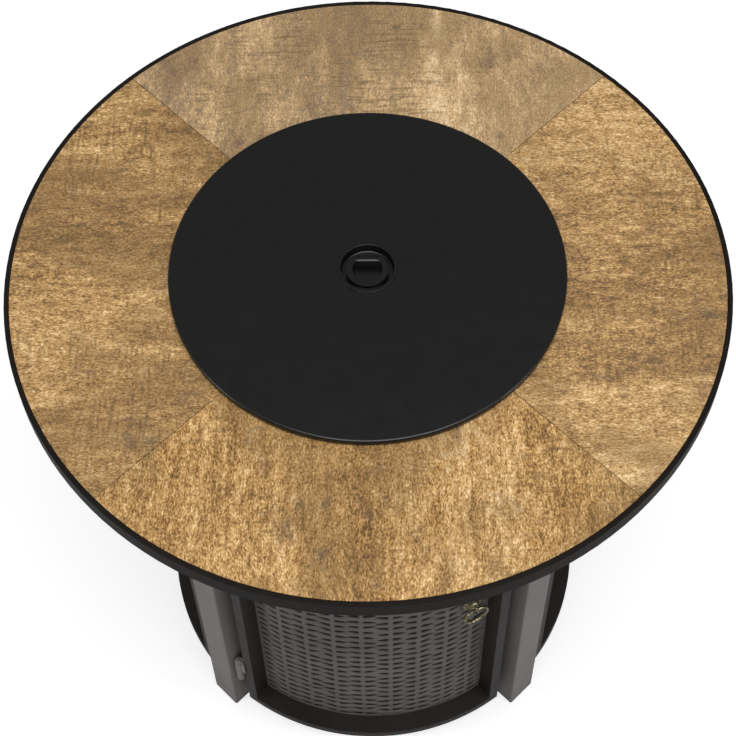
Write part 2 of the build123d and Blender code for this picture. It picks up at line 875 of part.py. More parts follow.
# Gas valve with its nose, bore and mounting lugs; its inlet takes the hose, which isn't shown

def make_valve():
    z = control_height
    half = valve_width / 2
    body = block((valve_x - half, valve_x + half), (valve_front, valve_front + valve_depth),
                 (z - valve_body_height / 2, z + valve_body_height / 2))
    body = fillet(body.edges().filter_by(Axis.Y), valve_corner_rounding)
    for side in (-1, 1):
        body += forward(valve_lug_radius, plate_back, valve_front,
                        valve_x + side * (half - valve_lug_radius), z)
    bore_end = valve_front + stem_engagement + stem_travel + valve_bore_room
    return body - forward(stem_radius + running_gap, valve_front, bore_end, valve_x, z)


def make_inlet():
    top = control_height - valve_body_height / 2
    middle = (valve_x, valve_front + valve_depth / 2)
    inlet = Pos(middle[0], middle[1], 0) * hexagon(inlet_hex_radius, top - inlet_hex_length, top)
    inlet += upright(inlet_radius, top - inlet_length, top, middle[0], middle[1])
    return inlet - upright(inlet_bore_radius, top - inlet_length - past, top - inlet_end_wall, middle[0], middle[1])


def make_stem():
    z = control_height
    stem = forward(stem_radius, knob_back - knob_socket_depth, valve_front + stem_engagement, valve_x, z)
    return stem + forward(stem_collar_radius, washer_front - stem_collar_length, washer_front, valve_x, z)


def make_washer():
    z = control_height
    washer = forward(washer_radius, washer_front, washer_front + washer_thickness, valve_x, z)
    return washer - forward(stem_radius + running_gap, -beyond + washer_front, beyond + washer_front,
                            valve_x, z)


def make_knob():
    z = control_height
    front = knob_back - knob_length
    skirt_front = front + knob_grip_depth
    knob = forward(knob_radius, skirt_front, knob_back, valve_x, z)
    knob = fillet(knob.edges().group_by(Axis.Y)[0], knob_rounding)
    reach = knob_radius - knob_grip_inset
    grip = block((valve_x - knob_grip_width / 2, valve_x + knob_grip_width / 2),
                 (front, skirt_front + 1), (z - reach, z + reach))
    grip = fillet(grip.edges().group_by(Axis.Y)[0], knob_rounding)
    return knob + grip - forward(stem_radius, knob_back - knob_socket_depth, knob_back, valve_x, z)


# Igniter: a battery housing with a bezel, its nut and its push button

def make_igniter_body():
    z = control_height
    body = forward(igniter_radius, bezel_front, bezel_front + igniter_length, igniter_x, z)
    body += forward(igniter_bezel_radius, bezel_front, plate_front, igniter_x, z)
    inside = igniter_button_length - igniter_button_proud
    bore_end = bezel_front + inside + igniter_travel + igniter_spring_room
    return body - forward(igniter_button_radius + running_gap, bezel_front, bore_end, igniter_x, z)


def make_igniter_nut():
    z = control_height
    nut = forward(igniter_nut_radius, plate_back, plate_back + igniter_nut_thickness, igniter_x, z)
    return nut - forward(igniter_radius, plate_back, plate_back + igniter_nut_thickness, igniter_x, z)


def make_igniter_button():
    start = bezel_front - igniter_button_proud
    button = forward(igniter_button_radius, start, start + igniter_button_length,
                     igniter_x, control_height)
    return fillet(button.edges().group_by(Axis.Y)[0], igniter_button_rounding)


# Spark electrode and flame sensor on a small bridge beside the burner

bridge_top = pan_floor + sensor_bracket_height


def make_sensor_bracket():
    half = sensor_bracket_width / 2
    depth = (-sensor_distance - sensor_bracket_depth / 2, -sensor_distance + sensor_bracket_depth / 2)
    bridge = block((-half, half), depth, (bridge_top - sensor_bracket_sheet, bridge_top))
    for side in (-1, 1):
        edges = sorted((side * half, side * (half - sensor_bracket_sheet)))
        bridge += block(edges, depth, (pan_floor, bridge_top))
    for side, radius in ((-1, ceramic_radius), (1, sensor_radius)):
        bridge -= upright(radius, pan_floor - 1, bridge_top + 1, side * sensor_spacing / 2,
                          -sensor_distance)
    return around(bridge, sensor_azimuth)


def make_probe(side, radius, length, tip_radius, tip_length):
    """A probe through the bridge, with a collar that rests on it and a thinner tip."""
    x = side * sensor_spacing / 2
    top = bridge_top + length / 2
    probe = upright(radius, top - length, top, x, -sensor_distance)
    probe += upright(radius + sensor_collar, bridge_top, bridge_top + sensor_collar, x, -sensor_distance)
    probe += upright(tip_radius, top, top + tip_length, x, -sensor_distance)
    return around(probe, sensor_azimuth)


# Build every piece

def build_parts():
    parts = {"tabletop_tray": make_tray(), "pan_collar": make_pan_collar(), "burner_pan": make_pan()}
    tile = make_tile()
    for side, azimuth in side_azimuths.items():
        parts["tile_" + side] = around(tile, azimuth)

    screws = []
    clips = []
    post = make_post()
    for corner, azimuth in quarter_azimuths.items():
        corner_screws = [bracket_screw(step * bracket_screw_spacing) for step in (-0.5, 0.5)]
        for side in clip_sides(corner):
            for height in clip_heights:
                clips.append(around(make_clip(side, height), azimuth))
                for step in (-0.5, 0.5):
                    corner_screws.append(post_screw(side, -clip_screw_distance,
                                                    height + step * clip_screw_spacing))
        drilled = post
        for screw in corner_screws:
            drilled -= screw
        parts["post_" + corner] = around(drilled, azimuth)
        screws.extend(around(screw, azimuth) for screw in corner_screws)

    corners = quarter_azimuths.values()
    parts["post_feet"] = group([around(make_foot(), azimuth) for azimuth in corners])
    parts["panel_clips"] = group(clips)
    parts["post_screws"] = group(screws)
    parts["top_brackets"] = group([around(make_bracket(), azimuth) for azimuth in corners])
    parts["deck_screws"] = group([around(deck_screw(step * bracket_screw_spacing), azimuth)
                                  for azimuth in corners for step in (-0.5, 0.5)])

    rail = make_rail()
    frame = make_frame()
    weave = make_weave()
    for side, azimuth in side_azimuths.items():
        parts["bottom_rail_" + side] = around(rail, azimuth)
        if side != "front":
            parts["panel_frame_" + side] = around(frame, azimuth)
            parts["panel_weave_" + side] = around(weave, azimuth)
    parts["base_shelf"] = make_shelf()
    parts["bottle_collar"] = make_collar()
    parts["collar_screw"] = make_collar_screw()
    parts["screw_pad"] = make_screw_pad()

    parts["door_frame"] = frame
    parts["door_weave"] = weave - around(pull_stud(stud_radius), door_pull_azimuth)
    parts["door_rosette"] = around(make_rosette(), door_pull_azimuth)
    parts["door_pull_ring"] = around(make_door_ring(), door_pull_azimuth)
    parts["rosette_nut"] = around(make_rosette_nut(), door_pull_azimuth)
    parts["door_magnet"] = make_magnet()
    hinges = (hinge_low_height, hinge_high_height)
    parts["hinge_post_barrels"] = group([make_post_barrel(height) for height in hinges])
    parts["hinge_door_barrels"] = group([make_door_barrel(height) for height in hinges])
    parts["hinge_pins"] = group([make_hinge_pin(height) for height in hinges])

    parts["lid"] = make_lid()
    parts["lid_cup"] = make_lid_cup()
    parts["lid_pull_clip"] = make_lid_clip()
    parts["lid_pull_ring"] = make_lid_pull()

    parts["burner_ring"] = make_burner_ring()
    parts["burner_hub"] = make_hub()
    parts["hub_nut"] = make_hub_nut()
    parts["gas_pipe"] = make_gas_pipe()
    parts["air_mixer"] = make_mixer()
    parts["control_plate"] = make_control_plate()
    parts["gas_valve"] = make_valve()
    parts["valve_inlet"] = make_inlet()
    parts["valve_stem"] = make_stem()
    parts["stem_washer"] = make_washer()
    parts["valve_knob"] = make_knob()
    parts["igniter_body"] = make_igniter_body()
    parts["igniter_nut"] = make_igniter_nut()
    parts["igniter_button"] = make_igniter_button()
    parts["electrode_bracket"] = make_sensor_bracket()
    parts["spark_electrode"] = make_probe(-1, ceramic_radius, ceramic_length,
                                          spark_wire_radius, spark_wire_length)
    parts["flame_sensor"] = make_probe(1, sensor_radius, sensor_length, sensor_radius / 2, sensor_collar)
    return parts


os.makedirs("parts", exist_ok=True)
parts = build_parts()
for name, shape in parts.items():
    export_step(shape, "parts/" + name + ".step")
print(len(parts), "pieces written")
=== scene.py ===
# %% [markdown]
# # A round gas fire pit table
#
# The imported CAD model is the fixed frame of this scene. It holds every solid at its real size and
# in its real place, in metres, and each solid already moves with its body. We load it first.

# %% Load the frame
import json
from math import cos, pi, radians, sin

import bmesh
import bpy
import numpy as np
from mathutils import Matrix, Vector

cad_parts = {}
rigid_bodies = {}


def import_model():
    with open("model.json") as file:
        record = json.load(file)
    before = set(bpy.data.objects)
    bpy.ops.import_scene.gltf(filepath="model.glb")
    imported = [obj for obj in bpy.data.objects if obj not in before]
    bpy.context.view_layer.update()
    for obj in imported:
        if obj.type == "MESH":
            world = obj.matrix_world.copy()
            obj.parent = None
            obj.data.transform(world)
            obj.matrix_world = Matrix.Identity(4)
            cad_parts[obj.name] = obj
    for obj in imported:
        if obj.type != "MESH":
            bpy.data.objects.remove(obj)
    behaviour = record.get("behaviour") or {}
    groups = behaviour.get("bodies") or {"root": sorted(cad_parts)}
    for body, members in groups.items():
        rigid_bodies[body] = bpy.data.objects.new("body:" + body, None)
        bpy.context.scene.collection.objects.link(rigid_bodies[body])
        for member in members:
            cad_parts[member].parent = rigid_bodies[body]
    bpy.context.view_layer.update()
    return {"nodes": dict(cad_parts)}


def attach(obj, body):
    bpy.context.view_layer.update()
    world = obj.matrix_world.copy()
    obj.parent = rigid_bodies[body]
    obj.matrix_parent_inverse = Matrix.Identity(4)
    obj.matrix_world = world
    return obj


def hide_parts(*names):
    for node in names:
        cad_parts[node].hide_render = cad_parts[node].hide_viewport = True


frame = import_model()
nodes = frame["nodes"]

# %% [markdown]
# ## The camera
#
# The photograph looks down on the table from about 59 degrees above the horizon, from in front and
# a little to one side. The camera was solved from the round outlines of the tabletop, the lid and
# the panels, so it is set by a matrix. Its three axes are worked out first as if the photograph's
# upright were exact, then tilted by the small roll, and last turned by the small angle that the
# table itself is turned by.

# %% Camera
table_height = 0.657
elevation, roll, turn = radians(58.584), radians(-1.312), radians(1.246)
distance, target = 1.67297, np.array([-0.001644, -0.11094, 0.0])
lens, sensor = 86.41, 36.0

view_back = np.array([0.0, -cos(elevation), sin(elevation)])
level_right = np.array([1.0, 0.0, 0.0])
level_up = np.array([0.0, sin(elevation), cos(elevation)])
view_right = cos(roll) * level_right + sin(roll) * level_up
view_up = -sin(roll) * level_right + cos(roll) * level_up
place = target + distance * view_back
axes = np.eye(4)
axes[:3, 0], axes[:3, 1], axes[:3, 2], axes[:3, 3] = view_right, view_up, view_back, place
table_turn = Matrix.Translation((0, 0, table_height)) @ Matrix.Rotation(turn, 4, "Z")
camera_matrix = table_turn @ Matrix(axes.tolist())

camera_data = bpy.data.cameras.new("photo_camera")
camera_data.lens = lens
camera_data.sensor_width = sensor
camera = bpy.data.objects.new("photo_camera", camera_data)
bpy.context.scene.collection.objects.link(camera)
camera.matrix_world = camera_matrix
bpy.context.scene.camera = camera
print("camera at", [round(value, 3) for value in camera_matrix.translation])

# %% [markdown]
# ## Node helpers
#
# Materials here are made of nodes, so a few short helpers keep the cells readable: one adds a node
# and sets its sockets, and two start and end a shader node group with named inputs and outputs. A
# group is a finish's recipe that can be used in several materials, each with its own numbers.

# %% Node helpers
def add_node(tree, kind, settings=None, **sockets):
    """Add a node, set its plain settings, then fill or link its inputs. An input is called by its
    name, or by its place as i0, i1 and so on. A socket given as its value makes a link."""
    node = tree.nodes.new(kind)
    for key, value in (settings or {}).items():
        setattr(node, key, value)
    for key, value in sockets.items():
        socket = node.inputs[int(key[1:]) if key[1:].isdigit() else key.replace("_", " ")]
        if isinstance(value, bpy.types.NodeSocket):
            tree.links.new(value, socket)
        else:
            socket.default_value = value
    return node


def calc(tree, operation, first, second=0.0, third=None):
    """One arithmetic step between two values or sockets."""
    sockets = {"i0": first, "i1": second}
    if third is not None:
        sockets["i2"] = third
    return add_node(tree, "ShaderNodeMath", {"operation": operation}, **sockets).outputs[0]


def ramp_value(tree, value, low, high, start=0.0, end=1.0):
    """A smooth step of a value from start to end while it goes from low to high."""
    return add_node(tree, "ShaderNodeMapRange", {"interpolation_type": "SMOOTHSTEP"}, i0=value,
                    i1=low, i2=high, i3=start, i4=end).outputs[0]


def blend_colour(tree, share, first, second):
    """Blend two colours by a share between 0 and 1. A mix node has its two colours in inputs 6 and
    7, after those for numbers and vectors."""
    return add_node(tree, "ShaderNodeMix", {"data_type": "RGBA"}, i0=share, i6=first,
                    i7=second).outputs[2]


def noise(tree, vector, scale, detail, roughness, distortion=0.0):
    """Noise with round grains; the scale is in grains per metre."""
    return add_node(tree, "ShaderNodeTexNoise", Vector=vector, Scale=scale, Detail=detail,
                    Roughness=roughness, Distortion=distortion).outputs[0]


def stretched_noise(tree, vector, scale, detail=2.0, roughness=0.55, location=(0, 0, 0),
                    distortion=0.0):
    """Noise whose grains are stretched: a scale for each direction, in grains per metre."""
    mapping = add_node(tree, "ShaderNodeMapping", i0=vector, i1=location, i3=scale)
    return noise(tree, mapping.outputs[0], 1.0, detail, roughness, distortion)


def start_group(name, inputs):
    """Start a recipe: a node group with inputs (name, kind, default) and a finish's outputs."""
    tree = bpy.data.node_groups.new(name, "ShaderNodeTree")
    for title, kind, default in inputs:
        socket = tree.interface.new_socket(title, in_out="INPUT", socket_type="NodeSocket" + kind)
        if default is not None:
            socket.default_value = default
    for title, kind in (("Color", "Color"), ("Roughness", "Float"), ("Height", "Float")):
        tree.interface.new_socket(title, in_out="OUTPUT", socket_type="NodeSocket" + kind)
    return tree, tree.nodes.new("NodeGroupInput"), tree.nodes.new("NodeGroupOutput")


def end_group(tree, group_out, shade, rough, height):
    """Link the three results of a recipe to the outputs of its group."""
    tree.links.new(shade, group_out.inputs["Color"])
    tree.links.new(rough, group_out.inputs["Roughness"])
    tree.links.new(height, group_out.inputs["Height"])
    print(tree.name, "nodes:", len(tree.nodes))


def colour(red, green, blue):
    """A colour read off a picture, 0 to 255, as the linear values that a shader needs."""
    values = np.array([red, green, blue]) / 255.0
    linear = np.where(values <= 0.04045, values / 12.92, ((values + 0.055) / 1.055) ** 2.4)
    return (*[float(value) for value in linear], 1.0)


print("wood mid tone, linear:", [round(value, 3) for value in colour(166, 126, 80)])

# %% [markdown]
# ## Wood print
#
# The table's top is four wood-look tiles: fired or laminated slabs with the picture of rough-sawn
# oak. A picture file isn't needed for that. The grain is noise stretched along one direction, at
# five sizes: broad light and dark boards, streaks, a figure, mottles and fine fibres. Each size
# adds its share to one tone, and a ramp turns the tone into browns. On top lie smoky patches, short
# dark saw marks across the grain, and dark spots. Each tile gets the same recipe at its own spot
# and turned to its own direction, as the real tiles do. A painted sheen, a blend towards pale
# grey-beige, makes some tiles paler; it stands for glare and is strongest on the back tile.

# %% Wood group
wood, wood_in, wood_out = start_group(
    "oak_print", [("Vector", "Vector", None), ("Pallor", "Float", 0.0)])
grain_space = wood_in.outputs["Vector"]
wobble, wobble_width = stretched_noise(wood, grain_space, (7, 9, 9)), 0.020
wobbled = add_node(wood, "ShaderNodeVectorMath", {"operation": "MULTIPLY_ADD"}, i0=wobble,
                   i1=(0.0, wobble_width, 0.0), i2=grain_space).outputs[0]
# each size: its name, its grains per metre along and across, its detail, its share in the tone
grain_sizes = [
    ("boards", (1.6, 9, 9), 3.0, 0.95),
    ("streaks", (8, 60, 60), 4.0, 0.60),
    ("figure", (45, 110, 110), 3.0, 0.75),
    ("mottles", (120, 250, 250), 3.0, 1.15),
    ("fibres", (320, 620, 620), 2.0, 1.7),
]
grain, tone = {}, 0.5
for index, (size_name, scale, detail, weight) in enumerate(grain_sizes):
    grain[size_name] = stretched_noise(wood, wobbled, scale, detail=detail, roughness=0.62,
                                       location=(3 * index, 5 * index, 0))
    tone = calc(wood, "MULTIPLY_ADD", calc(wood, "SUBTRACT", grain[size_name], 0.5), weight, tone)
ramp = add_node(wood, "ShaderNodeValToRGB", Fac=tone)
browns = [(0.0, (80, 58, 28)), (0.22, (119, 86, 43)), (0.45, (163, 123, 70)),
          (0.66, (193, 153, 96)), (0.86, (218, 183, 129)), (1.0, (238, 209, 166))]
for position, _ in browns[1:-1]:
    ramp.color_ramp.elements.new(position)
for element, (position, brown) in zip(ramp.color_ramp.elements, browns):
    element.position = position
    element.color = colour(*brown)
print("grain sizes:", list(grain))

# %% Smoke, saw marks and dark spots
saw_marks = stretched_noise(wood, grain_space, (330, 34, 34), roughness=0.6, location=(2, 8, 0))
saw_place = stretched_noise(wood, grain_space, (9, 13, 13), location=(4, 4, 0))
smoke = stretched_noise(wood, grain_space, (6, 10, 10), detail=5.0, roughness=0.66,
                        location=(9, 3, 0), distortion=0.6)
spots = stretched_noise(wood, grain_space, (24, 34, 34), detail=4.0, roughness=0.7,
                        location=(6, 9, 0), distortion=0.5)
marks = calc(wood, "MULTIPLY", ramp_value(wood, saw_marks, 0.50, 0.66),
             ramp_value(wood, saw_place, 0.45, 0.62))
smoky = calc(wood, "MULTIPLY", ramp_value(wood, smoke, 0.42, 0.60),
             ramp_value(wood, grain["mottles"], 0.3, 0.65, 0.5, 1.0))
dark_spots = calc(wood, "MULTIPLY", ramp_value(wood, spots, 0.56, 0.72),
                  ramp_value(wood, smoke, 0.35, 0.6))
# painted sheen: a blend towards pale grey-beige that stands for glare, strongest on the back tile
shade = blend_colour(wood, wood_in.outputs["Pallor"], ramp.outputs[0], colour(206, 190, 164))
for layer, strength, tint in ((smoky, 0.54, (106, 82, 48)), (marks, 0.5, (98, 76, 46)),
                              (dark_spots, 0.6, (82, 70, 62))):
    shade = blend_colour(wood, calc(wood, "MULTIPLY", layer, strength), shade, colour(*tint))
wood_rough = calc(wood, "MULTIPLY_ADD", grain["mottles"], 0.2, 0.40)
wood_relief = calc(wood, "SUBTRACT",
                   calc(wood, "MULTIPLY_ADD", grain["mottles"], 0.6, grain["streaks"]),
                   calc(wood, "MULTIPLY", marks, 0.8))
end_group(wood, wood_out, shade, wood_rough, wood_relief)

# %% [markdown]
# ## Baked paint on steel
#
# Almost all the metal of the real table is steel with a baked powder coat. Its look is a plain
# colour with very fine pebbling in the gloss, small drifts of tone over a hand's width, and a
# little pale dust. The group returns those three as colour, roughness and height; the shader itself
# stays in each material.

# %% Paint group
paint, paint_in, paint_out = start_group(
    "baked_paint",
    [("Vector", "Vector", None), ("Paint", "Color", (0.02, 0.02, 0.02, 1)),
     ("Pale", "Color", (0.05, 0.05, 0.05, 1)), ("Drift", "Float", 0.5), ("Gloss", "Float", 0.4),
     ("Grains", "Float", 900.0)])
paint_space, drift_share = paint_in.outputs["Vector"], paint_in.outputs["Drift"]
drift = noise(paint, paint_space, 9.0, 4.0, 0.6)
cloud = noise(paint, paint_space, 48.0, 3.0, 0.6)
pebble = noise(paint, paint_space, paint_in.outputs["Grains"], 2.0, 0.5)
drifts = ramp_value(paint, calc(paint, "MULTIPLY_ADD", cloud, 0.45, drift), 0.45, 1.0)
flecks = ramp_value(paint, pebble, 0.55, 0.8)
pale_share = calc(paint, "MULTIPLY_ADD", flecks, calc(paint, "MULTIPLY", drift_share, 0.5),
                  calc(paint, "MULTIPLY", drifts, drift_share))
paint_shade = blend_colour(paint, pale_share, paint_in.outputs["Paint"], paint_in.outputs["Pale"])
paint_rough = calc(paint, "ADD", calc(paint, "MULTIPLY_ADD", cloud, 0.14, -0.07),
                   paint_in.outputs["Gloss"])
end_group(paint, paint_out, paint_shade, paint_rough, pebble)

# %% [markdown]
# ## Bare metal
#
# Brass, stainless steel and zinc-plated screws share one recipe: a clean colour, a darker tarnish
# that gathers in soft patches, and hairline scratches that change the gloss. Antique brass is
# mostly tarnish, and the others have less of it. Plastic and ceramic have no recipe of their own:
# the paint recipe suits them.

# %% Tarnish group
tarnish, tarnish_in, tarnish_out = start_group(
    "tarnish",
    [("Vector", "Vector", None), ("Clean", "Color", (0.5, 0.5, 0.5, 1)),
     ("Tarnished", "Color", (0.1, 0.1, 0.1, 1)), ("Amount", "Float", 0.5), ("Gloss", "Float", 0.3),
     ("Patches", "Float", 160.0)])
metal_space = tarnish_in.outputs["Vector"]
patches = noise(tarnish, metal_space, tarnish_in.outputs["Patches"], 5.0, 0.65)
hairlines = stretched_noise(tarnish, metal_space, (1400, 1400, 60))
tarnish_share = calc(tarnish, "MULTIPLY", ramp_value(tarnish, patches, 0.35, 0.65),
                     tarnish_in.outputs["Amount"])
metal_shade = blend_colour(tarnish, tarnish_share, tarnish_in.outputs["Clean"],
                           tarnish_in.outputs["Tarnished"])
metal_rough = calc(tarnish, "MULTIPLY_ADD", hairlines, 0.1,
                   calc(tarnish, "MULTIPLY_ADD", tarnish_share, 0.25, tarnish_in.outputs["Gloss"]))
metal_relief = calc(tarnish, "MULTIPLY_ADD", hairlines, 0.3, patches)
end_group(tarnish, tarnish_out, metal_shade, metal_rough, metal_relief)

# %% [markdown]
# ## Finishes
#
# One function turns a recipe into a material. Object coordinates carry the pattern, in metres, and
# every finished object sits at the origin, so the pattern keeps its real scale on all of them.
# Numbers that are the same all over a piece, such as how metallic it is, are set on the shader
# itself.

# %% Finish function
def finish(name, recipe, values, relief=0.3, depth=0.0002, spot=(0, 0, 0), turned=0.0, mask=None,
           **shader_values):
    """A material from a recipe group. Relief is how strongly its height shows, and depth how high
    it is, in metres. Spot and turned move and turn its pattern. A mask is a mesh attribute and the
    colour that it brings."""
    material = bpy.data.materials.new(name)
    material.use_nodes = True
    tree = material.node_tree
    tree.nodes.clear()
    output = tree.nodes.new("ShaderNodeOutputMaterial")
    shader = tree.nodes.new("ShaderNodeBsdfPrincipled")
    tree.links.new(shader.outputs[0], output.inputs[0])
    place = add_node(tree, "ShaderNodeTexCoord")
    mapping = add_node(tree, "ShaderNodeMapping", i0=place.outputs["Object"], i1=spot,
                       i2=(0, 0, turned))
    group = tree.nodes.new("ShaderNodeGroup")
    group.node_tree = recipe
    tree.links.new(mapping.outputs[0], group.inputs["Vector"])
    for key, value in values.items():
        group.inputs[key].default_value = value
    painted = group.outputs["Color"]
    # a mask blends in painted shade, a dark colour where its attribute marks a recess
    if mask:
        share = add_node(tree, "ShaderNodeAttribute", {"attribute_name": mask[0]}).outputs["Fac"]
        painted = blend_colour(tree, share, painted, mask[1])
    tree.links.new(painted, shader.inputs["Base Color"])
    tree.links.new(group.outputs["Roughness"], shader.inputs["Roughness"])
    bump = add_node(tree, "ShaderNodeBump", Strength=relief, Distance=depth,
                    Height=group.outputs["Height"])
    tree.links.new(bump.outputs[0], shader.inputs["Normal"])
    for key, value in shader_values.items():
        shader.inputs[key.replace("_", " ")].default_value = value
    return material


def dress(material, names):
    """Give CAD nodes a material through their own slots, so that their meshes stay untouched."""
    for name in names:
        for slot in nodes[name].material_slots:
            slot.material = material


# %% Paint, plastic and ceramic finishes
def paint_finish(name, tone, pale, gloss, drift, grains=900.0, **more):
    """Baked paint, plastic or glaze: its colour, the paler colour of its drifts and dust, its
    gloss, the strength of the drifts, and its pebbles per metre."""
    values = {"Paint": colour(*tone), "Pale": colour(*pale), "Gloss": gloss, "Drift": drift,
              "Grains": grains}
    return finish(name, paint, values, **more)


rim_paint = paint_finish("rim_paint", (25, 22, 20), (46, 42, 39), 0.42, 0.2, relief=0.25,
                         Specular_IOR_Level=0.05)
lid_paint = paint_finish("lid_paint", (8, 8, 7), (18, 18, 17), 0.28, 0.2, relief=0.08,
                         Specular_IOR_Level=0.40)
post_paint = paint_finish("post_paint", (118, 113, 112), (148, 143, 140), 0.44, 0.3,
                          Specular_IOR_Level=0.15)
frame_paint = paint_finish("frame_paint", (36, 33, 31), (62, 58, 55), 0.42, 0.25,
                           Specular_IOR_Level=0.15)
# the wicker's mask paints the dips of the pressing near-black: painted shade under the strands
wicker_paint = paint_finish("wicker_paint", (94, 91, 89), (130, 126, 122), 0.46, 0.3,
                            mask=("gap", colour(4, 4, 4)), Specular_IOR_Level=0.12)
base_paint = paint_finish("base_paint", (32, 30, 30), (64, 61, 59), 0.5, 0.4,
                          Specular_IOR_Level=0.3)
plastic = paint_finish("black_plastic", (22, 22, 23), (48, 48, 48), 0.36, 0.15, grains=1500.0,
                       relief=0.2)
ceramic = paint_finish("electrode_ceramic", (226, 222, 212), (200, 190, 172), 0.25, 0.4,
                       relief=0.1)
magnet = paint_finish("magnet_block", (60, 58, 57), (112, 104, 96), 0.5, 0.5, relief=0.4)
print("paint finishes:", len([m for m in bpy.data.materials if m.name.endswith("_paint")]))

# %% Metal finishes
def metal_finish(name, clean, tarnished, amount, gloss, patches_per_metre, relief=0.1, mask=None):
    """Bare metal: its clean and its tarnished colour, how far it is tarnished, and its gloss."""
    values = {"Clean": colour(*clean), "Tarnished": colour(*tarnished), "Amount": amount,
              "Gloss": gloss, "Patches": patches_per_metre}
    return finish(name, tarnish, values, relief=relief, mask=mask, Metallic=1.0)


steel = metal_finish("stainless", (196, 193, 188), (150, 141, 128), 0.5, 0.26, 40.0)
# the burner's mask paints the port pits dark: painted shade for the inside of each hole
burner_steel = metal_finish("burner_steel", (190, 186, 180), (146, 128, 106), 0.7, 0.3, 30.0,
                            mask=("gap", colour(8, 8, 8)))
zinc = metal_finish("fastener_zinc", (206, 204, 200), (142, 138, 132), 0.6, 0.28, 300.0)
antique_brass = metal_finish("antique_brass", (182, 172, 138), (50, 45, 32), 0.9, 0.2, 300.0,
                             relief=0.35)
valve_brass = metal_finish("valve_brass", (214, 178, 104), (150, 112, 58), 0.6, 0.28, 120.0)
print("materials so far:", len(bpy.data.materials))

# %% Tile finishes
# each tile: the turn of its grain, its own spot in the print, and its share of painted sheen, a
# paler blend that stands for glare, strongest on the back tile
tile_prints = {"front": (-pi / 2, (3.10, 1.30, 0), 0.0), "right": (0.0, (7.45, 2.10, 0), 0.07),
               "back": (-pi / 2, (5.20, 6.35, 0), 0.26), "left": (0.0, (1.60, 4.80, 0), 0.06)}
tile_wood = {}
for side, (turned, spot, sheen) in tile_prints.items():
    tile_wood[side] = finish("wood_" + side, wood, {"Pallor": sheen}, relief=0.35, depth=0.0004,
                             spot=spot, turned=turned, Specular_IOR_Level=0.3)
print("tile finishes:", list(tile_wood))

# %% Dress the CAD nodes that keep their own shape
own_shape = [(ceramic, ["spark_electrode"]), (plastic, ["valve_knob", "stem_washer"]),
             (zinc, ["flame_sensor", "post_screws", "deck_screws", "gas_pipe"])]
for material, names in own_shape:
    dress(material, names)
print("dressed:", [name for material, names in own_shape for name in names])

# %% [markdown]
# ## Shapes from grids
#
# The new pieces are surfaces worked out with numpy. A grid of points has rows and columns;
# neighbours in it make four-sided faces. A grid can be closed round one way, like a tube, or both
# ways, like a ring. Lengths are written in millimetres and turned into metres, Blender's unit, when
# the points are made. Two things are done to a finished mesh: points that fall together are merged,
# unless the merge distance is zero, which closes seams and poles, and the faces are turned to point
# outwards.

# %% Grid helpers
def metre_points(x, y, z):
    """Points in metres from coordinates in millimetres. Each may be a number, a row, a column or a
    grid: numpy repeats the smaller ones until they fill the grid."""
    return np.stack(np.broadcast_arrays(x, y, z), axis=-1) / 1000.0


def grid_faces(rows, columns, close_rows=False, close_columns=False):
    """The faces of a grid of points: each is a point, its right neighbour and the two above."""
    index = np.arange(rows * columns).reshape(rows, columns)
    if close_rows:
        index = np.vstack([index, index[:1]])
    if close_columns:
        index = np.hstack([index, index[:, :1]])
    quads = np.stack([index[:-1, :-1], index[:-1, 1:], index[1:, 1:], index[1:, :-1]], axis=-1)
    return quads.reshape(-1, 4)


def place_piece(name, mesh, material, body, node, sharp):
    """Finish and place a mesh: it rides on a body and stands for the CAD node that it replaces. It
    is shaded smooth, except at edges that turn by more than the sharp angle, in degrees."""
    mesh.materials.append(material)
    mesh.shade_smooth()
    mesh.set_sharp_from_angle(angle=radians(sharp))
    piece = bpy.data.objects.new(name, mesh)
    bpy.context.scene.collection.objects.link(piece)
    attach(piece, body)
    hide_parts(node)
    return piece


def make_piece(name, points, faces, material, body, node, sharp=60.0, merge=1e-6, attribute=None):
    """Mesh and place one piece. Points nearer than the merge distance, in metres, become one, and
    an attribute is a name with a number for each point."""
    mesh = bpy.data.meshes.new(name)
    mesh.from_pydata(np.asarray(points).reshape(-1, 3).tolist(), [], np.asarray(faces).tolist())
    if attribute:
        layer = mesh.attributes.new(attribute[0], "FLOAT", "POINT")
        layer.data.foreach_set("value", np.asarray(attribute[1], dtype=np.float32).ravel())
    work = bmesh.new()
    work.from_mesh(mesh)
    if merge:
        bmesh.ops.remove_doubles(work, verts=work.verts, dist=merge)
    bmesh.ops.recalc_face_normals(work, faces=work.faces)
    work.to_mesh(mesh)
    work.free()
    return place_piece(name, mesh, material, body, node, sharp)


def turn_about_z(points, azimuth):
    """Turn points made at the front, at -Y, to another azimuth in degrees, from -Y towards +X."""
    angle = radians(azimuth)
    x, y, z = points[..., 0], points[..., 1], points[..., 2]
    return np.stack([x * cos(angle) - y * sin(angle), x * sin(angle) + y * cos(angle), z], axis=-1)


def rounded_outline(corners, radii, steps):
    """A closed outline of (radius, height) pairs whose corners are rounded: each corner becomes a
    short curve from a point before it to a point after it, bent towards the corner (a quadratic
    Bezier curve)."""
    corners = np.array(corners, dtype=float)
    before, after = np.roll(corners, 1, axis=0), np.roll(corners, -1, axis=0)
    t = np.linspace(0, 1, steps + 1)[:, None]
    outline = []
    for corner, last, coming, radius in zip(corners, before, after, radii):
        if radius <= 0:
            outline.append(corner[None, :])
            continue
        start = corner + (last - corner) / np.linalg.norm(last - corner) * radius
        end = corner + (coming - corner) / np.linalg.norm(coming - corner) * radius
        outline.append((1 - t) ** 2 * start + 2 * t * (1 - t) * corner + t ** 2 * end)
    return np.vstack(outline)


